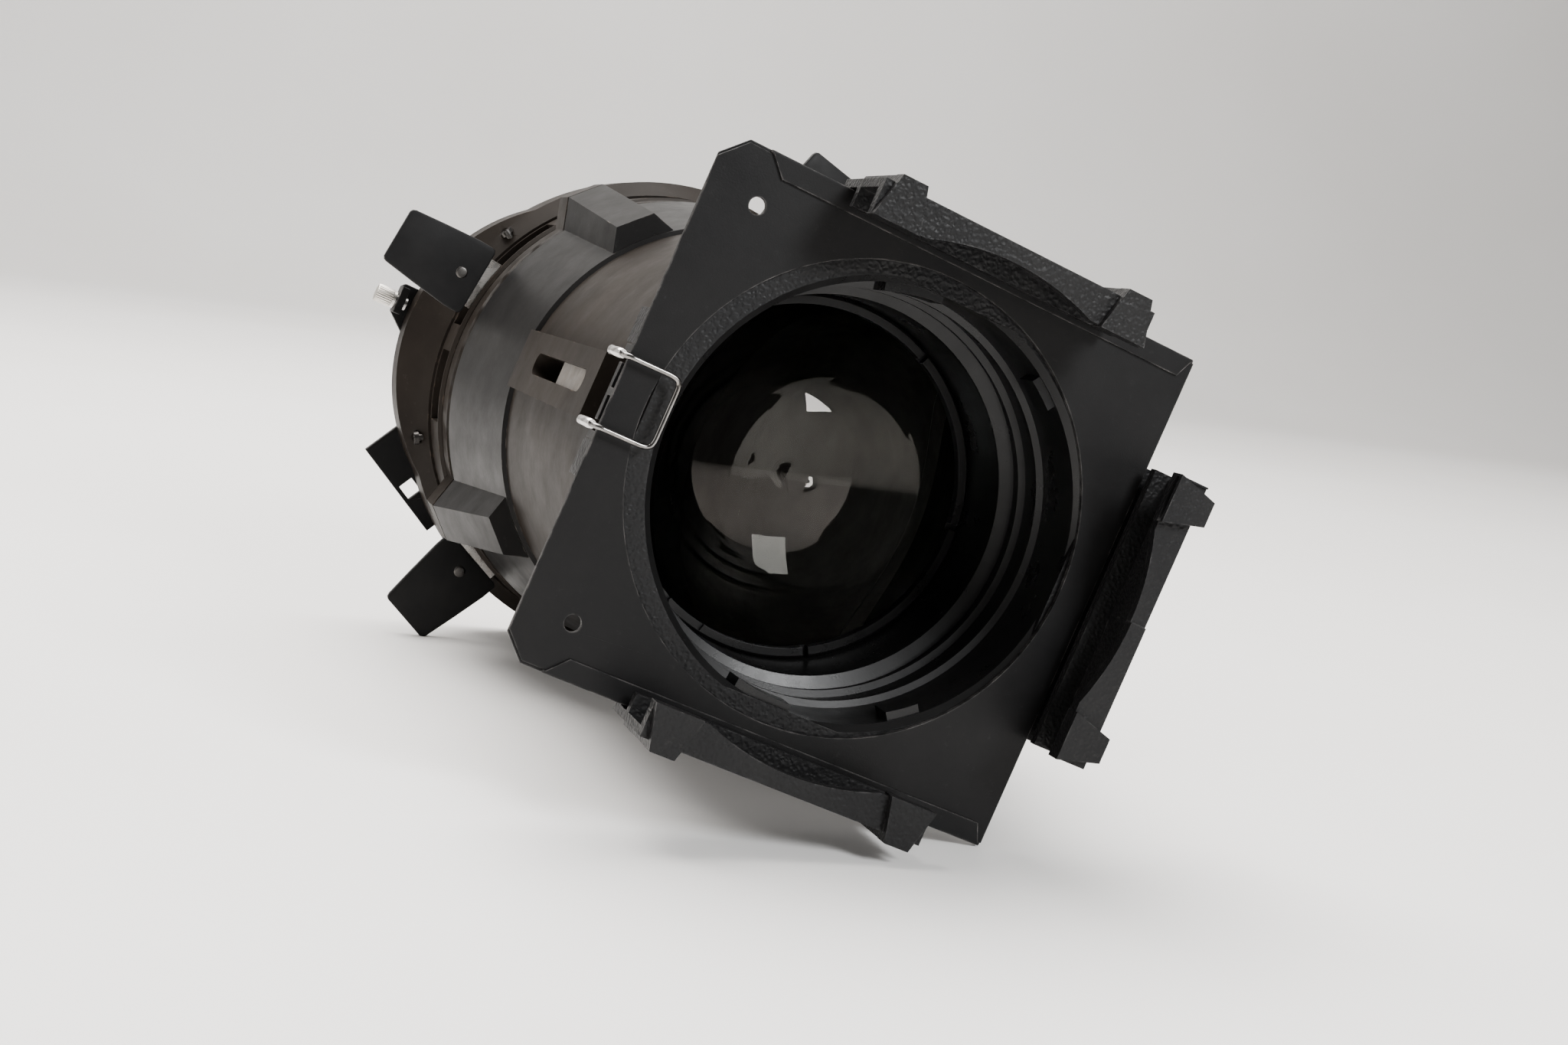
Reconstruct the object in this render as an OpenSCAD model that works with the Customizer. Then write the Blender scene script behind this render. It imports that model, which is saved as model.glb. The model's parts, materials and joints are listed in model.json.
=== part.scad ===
// Profile spotlight front end: lens tube with colour frame, barrel and shutter gate.
// The parts are drawn about the lens axis: Y runs along it, the light leaves towards -Y,
// and +Z is the open side of the accessory holder. rest() then lays the whole object
// down the way it lies on a table, with its origin below its middle.

/* [Lens tube] */

// Radius of the tube's open mouth, mm
mouth_r = 64.8; // [60:0.1:65]
// Outer radius of the tube between its guide bands, mm
tube_r = 69; // [68.5:0.1:70]
// Radius of the two guide bands that run in the barrel, mm
band_r = 71.2; // [70.8:0.05:71.4]
// Length of the tube behind the accessory holder, mm
tube_len = 142; // [138:1:148]

/* [Accessory holder] */

// Width of the square accessory that the holder takes, mm
accessory_w = 158.75; // [158:0.05:159]
// Length of each side flange, mm
flange_len = 89; // [84:1:92]
// Depth of the flange in front of the colour frame, mm
flange_depth = 26; // [24:1:28]
// Radius of the arc cut in the front lips, mm
lip_arc_r = 77.5; // [76.5:0.1:78]

/* [Colour frame] */

// Radius of the opening in the colour frame, mm
frame_hole_r = 69.5; // [66:0.1:70]
// Thickness of one leaf of the colour frame, mm
leaf_t = 0.8; // [0.7:0.05:0.85]
// How far the frame stands out of its seat, mm
frame_out = 4.2; // [4:0.1:4.3]

/* [Barrel] */

// Outer radius of the barrel at its front, mm
barrel_front_r = 76; // [75.5:0.1:77]
// Outer radius of the barrel where the flare begins, mm
barrel_waist_r = 77.5; // [77:0.1:78.5]
// Outer radius of the barrel's rear rim, mm
rim_r = 88; // [87.5:0.1:88.5]
// Width of the flat boss that holds the focus slot, mm
boss_w = 21.3; // [20:0.1:24]
// Length of the focus slot in the upper boss, mm
slot_len = 80; // [70:1:84]

/* [Shutter gate] */

// Radius of the gate opening, mm
gate_r = 38; // [34:0.5:39]
// Distance between neighbouring blade planes, mm
blade_pitch = 4.4; // [4.4:0.05:4.6]
// Thickness of a shutter blade, mm
blade_t = 0.8; // [0.6:0.1:0.8]
// Thickness of a shutter handle, mm
handle_t = 3; // [2.4:0.1:3]
// Distance of a handle's tip from the lens axis, mm
handle_tip = 127.5; // [125:0.5:129]

/* [Shown part] */

// Which node to draw

/* [Hidden] */

$fn = 96;
eps = 0.01;

// lying position: roll about the lens axis, nose-up pitch, then the move to the origin
rest_roll = -72.977;
rest_pitch = -0.371;
rest_shift = [-2.718, -138.800, 97.916];

// accessory holder
half_acc = accessory_w / 2;
wall_in = 80;
wall_out = 82.6;
lug_out = 85.2;
lug_in = 72.6;
lug_w = 14.5;
lug_tip_w = 7.7;
back_y = 2.3;
back_end_y = 8;
rib_y = -7.5;
rib_t = 3;
lip_t = 3.5;
half_flange = flange_len / 2;

// tube
tube_end_y = back_end_y + tube_len;
inner_screw_z = 58.2;

// clip
clip_pin_y = 9.5;
clip_pin_z = 79;
clip_wire_r = 1.05;
clip_half_w = 10.6;

// barrel
barrel_y = 42;
waist_y = 170;
cone_y = 226;
rim_y = 238;
bore_r = band_r + 0.3;
bore_end_y = 168;
shell_in_r = 84;
flare_step = 1.6;
boss_z = 80.7;
pad_angles = [45, 135, 225, 315];
pad_w = 24;
pad_r = 98;
pad_top_w = 14.4;
pad_front_r = 86.5;
bolt_ring_r = 93.6;
slot_y = 55;
slot_half = 3.75;
key_len = 41;
key_z0 = 70.2;
key_z1 = 79.5;

// focus lock on the lower boss
stud_r = 3;
stud_y = 112;
focus_travel = 38;
nut_r = 69.4;
channel_r = 76;

// gate
ring_y = 239.7;
guide_y = 256.3;
house_y = 255;
house_r = 89.5;
house_in_r = 85.4;
flare_y = 277;
house_end_y = 303;
rear_r = 96;
hood_r = 74.3;
hood_up = 30;
first_blade_y = 259.3;
slot_front_y = 257.3;
slot_back_y = 274.5;
rear_y = house_end_y + 3;
rear_hole_r = 86.5;
rear_screw_r = 90.2;
rear_screw_angles = [45 : 90 : 315];
mount_ring_r = 91;
mount_angles = [20 : 90 : 290];
mount_hole_r = 2.1;
lock_y = 300;
lock_x = 2.2;
slot_screw_y = 280.5;
slot_screw_angles = [-28, 28];
// centre and half width of each slot in the housing, degrees
housing_slots = [[-19.5, 17.5], [14, 9], [66, 25], [176, 25], [264, 25]];
// centre and half width of each stack of spacer pads between the shutters, degrees
spacer_pads = [[28, 3], [119, 15], [216, 8], [301, 12]];

// shutter handle
handle_foot = 91.5;
rivet_r = 99;
neck_half = 10.5;
blade_edge = -3;

// shutters: angle of travel from +Z towards -X, sideways offset of the handle, blade plane
top_shutter = [-6.8, 10.3, 0];
left_shutter = [63.2, 3.8, 3];
bottom_shutter = [175, 0, 1];
right_shutter = [258, 0, 2];

module rest() {
    translate(rest_shift)
        rotate([rest_pitch, 0, 0])
            rotate([0, rest_roll, 0])
                children();
}

// a solid of revolution about the lens axis, from [radius, y] points
module about_axis(points) {
    rotate([-90, 0, 0])
        rotate_extrude()
            polygon(points);
}

// a cylinder along the lens axis from y0 to y1
module along(r, y0, y1) {
    translate([0, y0, 0])
        rotate([-90, 0, 0])
            cylinder(r = r, h = y1 - y0);
}

// a flat shape in X-Z, given thickness from y0 to y1
module slab(y0, y1) {
    translate([0, y1, 0])
        rotate([90, 0, 0])
            linear_extrude(y1 - y0)
                children();
}

// a box given by its two corners
module box(low, high) {
    translate(low)
        cube(high - low);
}

// turn something built at the top of the axis to another angle, from +Z towards -X
module at_angle(a) {
    rotate([0, -a, 0])
        children();
}

// a straight rod between two points, round unless it is given a number of flats
module rod(p, q, r, flats = 32) {
    d = q - p;
    translate(p)
        rotate([0, acos(d[2] / norm(d)), atan2(d[1], d[0])])
            cylinder(r = r, h = norm(d), $fn = flats);
}

// a hexagon-headed screw along -Z, its head standing on z = 0
module hex_screw(shank_r, shank_len, head_w, head_h) {
    cylinder(r = head_w / sqrt(3), h = head_h, $fn = 6);
    translate([0, 0, -shank_len])
        cylinder(r = shank_r, h = shank_len + eps, $fn = 32);
}

// a pan-headed screw along -Z, its head standing on z = 0, with a cross slot
module pan_screw(shank_r, shank_len, head_r, head_h) {
    difference() {
        cylinder(r = head_r, h = head_h, $fn = 32);
        for (a = [0, 90])
            rotate(a)
                translate([-head_r * 0.6, -0.35, head_h - 0.8])
                    cube([head_r * 1.2, 0.7, 1]);
    }
    translate([0, 0, -shank_len])
        cylinder(r = shank_r, h = shank_len + eps, $fn = 32);
}

// a countersunk screw along +Z, the top of its head on z = 0, with a cross slot
module countersunk_screw(shank_r, len, head_r) {
    head_h = head_r - shank_r;
    difference() {
        cylinder(r1 = head_r, r2 = shank_r, h = head_h, $fn = 32);
        for (a = [0, 90])
            rotate(a)
                translate([-head_r * 0.6, -0.35, -0.2])
                    cube([head_r * 1.2, 0.7, 1]);
    }
    translate([0, 0, head_h - eps])
        cylinder(r = shank_r, h = len - head_h, $fn = 32);
}

/* Lens tube */

// half the width of a flange lug at a distance from the lens axis
function lug_half(x) = lug_w / 2 - (lug_w - lug_tip_w) / 2 * (x - lug_in) / (lug_out - lug_in);

// the plan of one flange lug: wide inside, narrow outside
module lug_plan(inner, shrink = 0) {
    polygon([
        [inner, shrink - lug_half(inner)],
        [lug_out - shrink, shrink - lug_half(lug_out)],
        [lug_out - shrink, lug_half(lug_out) - shrink],
        [inner, lug_half(inner) - shrink]
    ]);
}

// one side flange, standing on the +X side, with its lip, rib and two lugs
module flange() {
    front = -flange_depth;
    box([wall_in, front, -half_flange], [wall_out, back_end_y, half_flange]);
    difference() {
        box([lug_in, front, -half_flange], [wall_in + 1, front + lip_t, half_flange]);
        along(lip_arc_r, front - 1, front + lip_t + 1);
    }
    box([wall_in - 5.8, rib_y, -half_flange], [wall_in + 1, rib_y + rib_t, half_flange]);
    box([wall_in - 16, back_y, -half_flange], [wall_in + 1, back_end_y, half_flange]);
    for (s = [-1, 1])
        translate([0, 0, s * (half_flange - lug_w / 2)]) {
            slab(front, 4)
                lug_plan(wall_in + 0.5, 0.1);
            slab(front - 2.4, front + lip_t)
                lug_plan(lug_in - 0.6);
        }
}

// the tube and the holder before it is parted into two halves
module tube_blank() {
    difference() {
        union() {
            about_axis([
                [mouth_r + 2, back_y], [84, back_y], [84, back_end_y], [74, 14], [tube_r, 19],
                [tube_r, 83], [band_r, 84], [band_r, 91], [tube_r, 92],
                [tube_r, 137], [band_r, 138], [band_r, 145], [tube_r, 146],
                [tube_r, tube_end_y], [64, tube_end_y], [64, 95], [55, 95], [55, 91],
                [59.4, 91], [59.4, 50.6], [59.6, 49.4], [64, 48], [64, 42.6], [62.2, 42],
                [62.2, 40], [64.4, 39.4], [64.4, 29.6], [62.7, 29], [62.7, 27],
                [mouth_r, 26.4], [mouth_r, back_y + 2]
            ]);
            for (a = [0, 90, 180])
                rotate([0, a, 0])
                    flange();
            mouth_lugs();
            screw_lugs();
        }
        // the plate behind the open side is cut to a short flat edge
        box([-90, back_y - 1, 74], [-26, 17, 90]);
        box([26, back_y - 1, 74], [90, 17, 90]);
        box([-14.5, back_y - 1, 72.5], [14.5, 22, 90]);
    }
    // two upright ears of the open side, beside the clip bracket
    for (s = [-1, 1])
        box([s > 0 ? 14.8 : -25.5, back_y, 68], [s > 0 ? 25.5 : -14.8, 13, 83]);
}

// small raised blocks just inside the mouth
module mouth_lugs() {
    for (a = [[77, 16], [121, 9], [-86, 16], [-130, 9]])
        at_angle(a[0] + a[1] / 2)
            intersection() {
                difference() {
                    along(mouth_r + 1, 5, 15);
                    along(62.2, 4, 16);
                }
                box([-mouth_r * tan(a[1] / 2), 4, 40], [mouth_r * tan(a[1] / 2), 16, 70]);
            }
}

// inner and outer lugs that the tube screws pass through
module screw_lugs() {
    for (s = [-1, 1])
        box([-11, tube_end_y - 16, s > 0 ? 54 : -66.5], [11, tube_end_y, s > 0 ? 66.5 : -54]);
    box([-12, 7.5, -80.5], [12, 19, -68]);
}

module screw_holes() {
    for (z = [-inner_screw_z, inner_screw_z])
        translate([-20, tube_end_y - 7, z])
            rotate([0, 90, 0])
                cylinder(r = 1.75, h = 40, $fn = 32);
    translate([-20, 14, -75.5])
        rotate([0, 90, 0])
            cylinder(r = 1.75, h = 40, $fn = 32);
    // relief round the head of the outer screw
    translate([12, 14, -75.5])
        rotate([0, 90, 0])
            cylinder(r = 3.5, h = 18, $fn = 32);
    // recess below the parting line for the focus nut
    box([-6.2, stud_y - 6.2, -78], [6.2, stud_y + 6.2, -68]);
    // notch in both guide bands for the barrel's key
    box([-slot_half - 0.2, 83, tube_r + 0.2], [slot_half + 0.2, 146, band_r + 1]);
    // bores for the clip pin in the two ears
    translate([-30, clip_pin_y, clip_pin_z])
        rotate([0, 90, 0])
            cylinder(r = 1.5, h = 60, $fn = 32);
}

module lens_tube_left() {
    color([0.12, 0.12, 0.12])
        difference() {
            intersection() {
                tube_blank();
                box([-100, -40, -100], [0, 140, 100]);
            }
            screw_holes();
        }
}

module lens_tube_right() {
    color([0.15, 0.15, 0.15])
        difference() {
            intersection() {
                tube_blank();
                box([0, -40, -100], [100, 140, 100]);
            }
            screw_holes();
            // the parting line shows as a small step in the lower flange
            box([-1, -flange_depth - 1, -100], [44, -flange_depth + 0.8, -72]);
        }
}

module tube_screws() {
    color([0.6, 0.6, 0.6]) {
        for (z = [-inner_screw_z, inner_screw_z])
            translate([11, tube_end_y - 7, z])
                rotate([0, 90, 0])
                    pan_screw(1.7, 21, 3.2, 2.2);
        translate([12, 14, -75.5])
            rotate([0, 90, 0])
                pan_screw(1.7, 23, 3.2, 2.2);
    }
}

module lens() {
    front_r = 110;
    back_r = 190;
    edge_r = 59;
    front_y = 80 + sqrt(front_r * front_r - edge_r * edge_r);
    back_y = 84 - sqrt(back_r * back_r - edge_r * edge_r);
    color([0.75, 0.82, 0.85, 0.5])
        rotate([-90, 0, 0])
            rotate_extrude()
                intersection() {
                    translate([0, 50])
                        square([edge_r, 60]);
                    translate([0, front_y])
                        circle(r = front_r, $fn = 200);
                    translate([0, back_y])
                        circle(r = back_r, $fn = 200);
                }
}

module lens_retainer() {
    color([0.2, 0.2, 0.2])
        difference() {
            about_axis([[55.6, 74], [58.2, 74], [59.2, 75], [59.2, 79.9], [59, 79.9], [55.6, 77.8]]);
            for (a = [66, 118, 186, 246, 306])
                at_angle(a)
                    box([-0.9, 70, 50], [0.9, 77.4, 62]);
            at_angle(74)
                box([-7, 70, 50], [7, 75.4, 57.6]);
        }
}

module lens_gasket() {
    color([0.3, 0.3, 0.3])
        about_axis([[56, 85.05], [59.2, 84.05], [59.2, 90.9], [56, 90.9]]);
}

/* Clip */

module clip_bracket() {
    color([0.1, 0.1, 0.1])
        difference() {
            union() {
                box([-8.8, 12, 72.6], [8.8, 15, 82]);
                box([-14.3, 12, 72.6], [14.3, 15, 74.6]);
                for (x = [-14.4, -1.2, 12.1])
                    box([x, clip_pin_y - 3, 73.5], [x + 2.3, x > -2 && x < 0 ? 12.5 : 15, 82.2]);
                box([-14.3, 4, 72.6], [14.3, 12.5, 74.6]);
            }
            translate([-20, clip_pin_y, clip_pin_z])
                rotate([0, 90, 0])
                    cylinder(r = 1.5, h = 40, $fn = 32);
        }
}

module clip_pin() {
    color([0.55, 0.55, 0.55])
        translate([-24, clip_pin_y, clip_pin_z])
            rotate([0, 90, 0])
                cylinder(r = 1.48, h = 48, $fn = 32);
}

// the wire's route on one side, from the pin eye over the frame's edge to the front bar
function clip_route(x) = [
    [x, clip_pin_y, clip_pin_z + 2.4],
    [x, clip_pin_y - 0.9, 87.8],
    [x, -3.3, 84.9],
    [x, -3.1, 69.5],
    [x * 0.84, -3.1, 67.9]
];

module retaining_clip() {
    lap = 0.35;
    color([0.85, 0.85, 0.87]) {
        for (s = [-1, 1]) {
            p = clip_route(s * clip_half_w);
            for (i = [0 : len(p) - 2]) {
                d = (p[i + 1] - p[i]) / norm(p[i + 1] - p[i]);
                rod(p[i] - d * lap, p[i + 1] + d * lap, clip_wire_r, 12);
            }
            // eye around the pin
            translate([s * clip_half_w - 1.15, clip_pin_y, clip_pin_z])
                rotate([0, 90, 0])
                    difference() {
                        cylinder(r = 3.4, h = 2.3, $fn = 48);
                        translate([0, 0, -1])
                            cylinder(r = 1.55, h = 5, $fn = 48);
                    }
        }
        rod(clip_route(-clip_half_w)[4] - [lap, 0, 0], clip_route(clip_half_w)[4] + [lap, 0, 0],
            clip_wire_r, 12);
    }
}

module clip_sleeves() {
    color([0.9, 0.9, 0.9])
        for (s = [-1, 1]) {
            p = clip_route(s * clip_half_w);
            d = p[2] - p[1];
            difference() {
                rod(p[1] + d * 0.12, p[2] - d * 0.08, 1.75);
                rod(p[1] - d, p[2] + d, clip_wire_r + 0.02);
            }
        }
}

/* Colour frame */

// outline of one leaf: a square with its two outer corners clipped
module leaf_plan(half_w) {
    c = 7;
    polygon([
        [-half_w, -half_acc], [half_w, -half_acc], [half_w, half_acc - c],
        [half_w - c, half_acc], [-half_w + c, half_acc], [-half_w, half_acc - c]
    ]);
}

// place a flat X-Z shape on the colour frame's centre
module frame_slab(y0, y1) {
    translate([0, 0, frame_out])
        slab(y0, y1)
            children();
}

module frame_cuts() {
    circle(r = frame_hole_r);
    for (s = [-1, 1])
        translate([s * 63.5, 63.3])
            circle(r = 2.5, $fn = 32);
}

module frame_front_leaf() {
    color([0.17, 0.17, 0.17])
        frame_slab(0, leaf_t)
            difference() {
                leaf_plan(half_acc - 0.9);
                frame_cuts();
            }
}

module frame_back_leaf() {
    y0 = leaf_t + 0.05;
    color([0.2, 0.2, 0.2]) {
        frame_slab(y0, y0 + leaf_t)
            difference() {
                leaf_plan(half_acc);
                frame_cuts();
            }
        // hems folded over the front leaf along both sides
        for (s = [-1, 1]) {
            frame_slab(-leaf_t, y0 + leaf_t)
                polygon([
                    [s * (half_acc - 0.85), -half_acc + 1], [s * half_acc, -half_acc + 1],
                    [s * half_acc, 66], [s * (half_acc - 0.85), 66]
                ]);
            frame_slab(-leaf_t, -0.03)
                polygon([
                    [s * (half_acc - 6.4), -half_acc + 4], [s * half_acc, -half_acc + 1],
                    [s * half_acc, 66], [s * (half_acc - 6.4), 60]
                ]);
        }
    }
}

/* Focus lock */

module focus_nut() {
    color([0.7, 0.6, 0.35])
        difference() {
            box([-6, stud_y - 6, -channel_r + 0.4], [6, stud_y + 6, -68.1]);
            translate([0, stud_y, -90])
                cylinder(r = stud_r + 0.05, h = 30, $fn = 48);
        }
}

module focus_stud() {
    color([0.6, 0.6, 0.6])
        translate([0, stud_y, -boss_z - 5])
            cylinder(r = stud_r, h = boss_z + 5 - nut_r, $fn = 48);
}

module focus_washer() {
    color([0.6, 0.6, 0.6])
        translate([0, stud_y, -boss_z - 1.85])
            difference() {
                cylinder(r = 9, h = 1.5, $fn = 64);
                translate([0, 0, -1])
                    cylinder(r = stud_r + 0.02, h = 4, $fn = 48);
            }
}

module focus_knob() {
    color([0.1, 0.1, 0.1])
        translate([0, stud_y, -boss_z - 16.9])
            difference() {
                union() {
                    cylinder(r = 10.5, h = 15, $fn = 64);
                    for (a = [0 : 60 : 300])
                        rotate(a)
                            translate([9.4, 0, 0])
                                cylinder(r = 3.6, h = 12, $fn = 32);
                }
                translate([0, 0, 11])
                    cylinder(r = stud_r + 0.02, h = 10, $fn = 48);
            }
}

/* Barrel */

// one of the four raised pads that the barrel bolts end in: a bar with sloping sides
module pad() {
    front_y = waist_y + 2;
    rise = atan((pad_r - pad_front_r) / (rim_y - front_y));
    intersection() {
        translate([0, front_y, pad_front_r])
            rotate([rise - 90, 0, 0])
                translate([0, 0, -20])
                    linear_extrude(100)
                        polygon([
                            [-pad_w / 2 - 2, 16], [-pad_w / 2 - 1.5, 11], [-pad_top_w / 2, 0],
                            [pad_top_w / 2, 0], [pad_w / 2 + 1.5, 11], [pad_w / 2 + 2, 16]
                        ]);
        box([-pad_w, front_y, 60], [pad_w, rim_y - 0.1, 110]);
    }
}

// the space inside the barrel: the bore, then the flare up to the rim
module barrel_space() {
    about_axis([
        [0, barrel_y - 5], [bore_r, barrel_y - 5], [bore_r, bore_end_y], [shell_in_r - 8.5, waist_y + 2],
        [shell_in_r - 1.5, cone_y - 4], [shell_in_r, cone_y + 2], [shell_in_r, rim_y + 1], [0, rim_y + 1]
    ]);
}

module barrel_blank() {
    difference() {
        union() {
            about_axis([
                [bore_r - 1, barrel_y], [barrel_front_r, barrel_y], [barrel_waist_r, waist_y],
                [barrel_waist_r + flare_step, waist_y + 0.6], [rim_r, rim_y - 0.8], [rim_r - 0.6, rim_y],
                [bore_r - 1, rim_y]
            ]);
            for (s = [-1, 1])
                box([-boss_w / 2, barrel_y - 1, s > 0 ? 70 : -boss_z],
                    [boss_w / 2, waist_y - 5, s > 0 ? boss_z : -70]);
            for (a = pad_angles)
                at_angle(a)
                    pad();
        }
        barrel_space();
        // blind holes for the barrel bolts
        for (a = pad_angles)
            at_angle(a)
                translate([0, rim_y + 1, bolt_ring_r])
                    rotate([90, 0, 0])
                        cylinder(r = 2.1, h = 11.5, $fn = 32);
        // upper slot, with round ends
        slot(slot_y, slot_y + slot_len, 68, 90);
        // lower slot and the channel that the focus nut slides in
        slot(stud_y - focus_travel - 4.5, stud_y + 4.5, -90, -68);
        box([-6.6, stud_y - focus_travel - 8, -channel_r], [6.6, stud_y + 8, -68]);
    }
}

// a slot through a boss, from y0 to y1 and z0 to z1
module slot(y0, y1, z0, z1) {
    for (y = [y0 + slot_half, y1 - slot_half])
        translate([0, y, z0])
            cylinder(r = slot_half, h = z1 - z0, $fn = 48);
    box([-slot_half, y0 + slot_half, z0], [slot_half, y1 - slot_half, z1]);
}

module barrel_upper() {
    color([0.25, 0.24, 0.23])
        intersection() {
            barrel_blank();
            box([-120, 0, 0], [120, 260, 120]);
        }
}

module barrel_lower() {
    color([0.2, 0.2, 0.2])
        intersection() {
            barrel_blank();
            box([-120, 0, -120], [120, 260, 0]);
        }
}

module barrel_bolts() {
    color([0.5, 0.5, 0.5])
        for (a = pad_angles)
            at_angle(a)
                translate([0, house_y, bolt_ring_r])
                    rotate([-90, 0, 0])
                        hex_screw(2, 26, 7, 3.2);
}

module guide_key() {
    color([0.75, 0.75, 0.73]) {
        translate([0, slot_y + slot_half + 0.1, key_z0])
            cylinder(r = slot_half - 0.05, h = key_z1 - key_z0, $fn = 48);
        box([-slot_half + 0.05, slot_y + slot_half + 0.1, key_z0],
            [slot_half - 0.05, slot_y + key_len, key_z1]);
    }
}

/* Gate */

module gate_front_ring() {
    color([0.4, 0.38, 0.36])
        difference() {
            union() {
                about_axis([
                    [76, rim_y + 0.05], [rim_r - 2.2, rim_y + 0.05], [rim_r - 2.2, ring_y],
                    [rim_r - 0.8, ring_y], [rim_r + 0.4, ring_y + 1.2],
                    [rim_r + 0.4, house_y - 3.4], [rim_r - 2.2, house_y - 2.6],
                    [rim_r - 2.2, house_y - 0.05], [76, house_y - 0.05]
                ]);
                for (a = pad_angles)
                    at_angle(a)
                        slab(ring_y, house_y - 0.05)
                            polygon([
                                [-pad_w / 2 - 2, 82], [-pad_w / 2 - 1.5, 87], [-pad_top_w / 2, pad_r],
                                [pad_top_w / 2, pad_r], [pad_w / 2 + 1.5, 87], [pad_w / 2 + 2, 82]
                            ]);
            }
            for (a = pad_angles)
                at_angle(a)
                    translate([0, house_y + 1, bolt_ring_r])
                        rotate([90, 0, 0])
                            cylinder(r = 2.1, h = 30, $fn = 32);
        }
}

// the outline of the housing's rear: a circle with a raised hood at the top
module rear_plan(shrink) {
    circle(r = rear_r - shrink);
    translate([0, hood_up])
        circle(r = hood_r - shrink);
}

// a wedge of space at one angle that a shutter's handle moves in
module slot_wedge(a, half) {
    at_angle(a)
        slab(slot_front_y, slot_back_y)
            polygon([[0, 0], [-160 * tan(half), 160], [160 * tan(half), 160]]);
}

module gate_housing() {
    color([0.35, 0.33, 0.31])
        difference() {
            union() {
                about_axis([
                    [80, house_y], [house_r - 1.3, house_y], [house_r, house_y + 1.3],
                    [house_r, flare_y + 2], [80, flare_y + 2]
                ]);
                intersection() {
                    slab(flare_y, house_end_y)
                        rear_plan(0);
                    about_axis([
                        [0, flare_y], [house_r + 1, flare_y], [rear_r, flare_y + 6],
                        [106, flare_y + 14], [106, house_end_y - 2],
                        [102.5, house_end_y], [0, house_end_y]
                    ]);
                }
            }
            along(house_in_r - 5, house_y - 1, guide_y + 0.1);
            along(house_in_r, guide_y, slot_back_y + 1.6);
            along(rear_hole_r - 6, slot_back_y + 1.5, flare_y + 2.1);
            along(rear_hole_r, flare_y + 2, house_end_y + 1);
            for (w = housing_slots)
                slot_wedge(w[0], w[1]);
            for (a = slot_screw_angles)
                at_angle(a)
                    translate([0, slot_screw_y, house_r - 1.8]) {
                        cylinder(r = 1.55, h = 12, $fn = 32);
                        translate([0, 0, 6.35])
                            cylinder(r = 3, h = 8, $fn = 32);
                    }
            for (a = rear_screw_angles)
                at_angle(a)
                    translate([0, house_end_y + 1, rear_screw_r])
                        rotate([90, 0, 0])
                            cylinder(r = 2, h = 16, $fn = 32);
            // holes that the lamp house is bolted to
            for (a = mount_angles)
                at_angle(a)
                    translate([0, house_end_y + 1, mount_ring_r])
                        rotate([90, 0, 0])
                            cylinder(r = mount_hole_r, h = 14, $fn = 32);
        }
}

// a thin flat ring between the blades
module ring_plate(y0, t, inner) {
    slab(y0, y0 + t)
        difference() {
            circle(r = house_in_r - 0.1);
            circle(r = inner);
        }
}

module front_guide_plate() {
    color([0.5, 0.5, 0.5])
        ring_plate(guide_y, 0.8, gate_r + 8);
}

// the pads that keep two neighbouring plates apart, from y0 to y1
module spacer_blocks(y0, y1) {
    for (w = spacer_pads)
        at_angle(w[0])
            slab(y0, y1)
                intersection() {
                    difference() {
                        circle(r = house_in_r - 0.4);
                        circle(r = 77);
                    }
                    polygon([[0, 0], [-160 * tan(w[1]), 160], [160 * tan(w[1]), 160]]);
                }
}

module blade_spacers() {
    color([0.5, 0.5, 0.5])
        for (i = [0 : 2]) {
            back = first_blade_y + blade_pitch * (i + 0.5) + 0.25;
            ring_plate(back - 0.5, 0.5, gate_r + 5);
            spacer_blocks(i == 0 ? guide_y + 0.85 : back - blade_pitch + 0.05, back - 0.1);
        }
}

module gate_plate() {
    color([0.55, 0.55, 0.55]) {
        ring_plate(slot_back_y, 1.5, gate_r);
        spacer_blocks(first_blade_y + blade_pitch * 2.5 + 0.3, slot_back_y + 0.1);
    }
}

module slot_screws() {
    color([0.7, 0.7, 0.68])
        for (a = slot_screw_angles)
            at_angle(a)
                translate([0, slot_screw_y, house_r + 4.6])
                    pan_screw(1.5, 6, 2.6, 1.8);
}

/* Rear */

// the ear of the rear plate, with its window
module ear_plan() {
    translate([-58.1, 97.2])
        rotate(-30)
            difference() {
                translate([0, -42])
                    square([24, 42]);
                translate([1.8, -27])
                    square([6.2, 6.5]);
            }
}

module rear_plate_plan() {
    difference() {
        union() {
            rear_plan(1.5);
            ear_plan();
        }
        circle(r = rear_hole_r);
        for (a = mount_angles)
            rotate(a)
                translate([0, mount_ring_r])
                    circle(r = mount_hole_r, $fn = 32);
        // notch for the lock bracket
        translate([-10.1, 94.7])
            square([20.4, 20]);
    }
}

module rear_plate() {
    color([0.12, 0.12, 0.12])
        difference() {
            slab(house_end_y, rear_y)
                rear_plate_plan();
            // countersunk holes for the rear screws
            for (a = rear_screw_angles)
                at_angle(a)
                    translate([0, rear_y, rear_screw_r])
                        rotate([90, 0, 0]) {
                            cylinder(r = 2.05, h = 5, $fn = 32);
                            translate([0, 0, -eps])
                                cylinder(r1 = 3.55, r2 = 2.05, h = 1.5, $fn = 32);
                        }
        }
}

module rear_screws() {
    color([0.6, 0.6, 0.6])
        for (a = rear_screw_angles)
            at_angle(a)
                translate([0, rear_y - 0.05, rear_screw_r])
                    rotate([90, 0, 0])
                        countersunk_screw(1.95, 15, 3.4);
}

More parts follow.
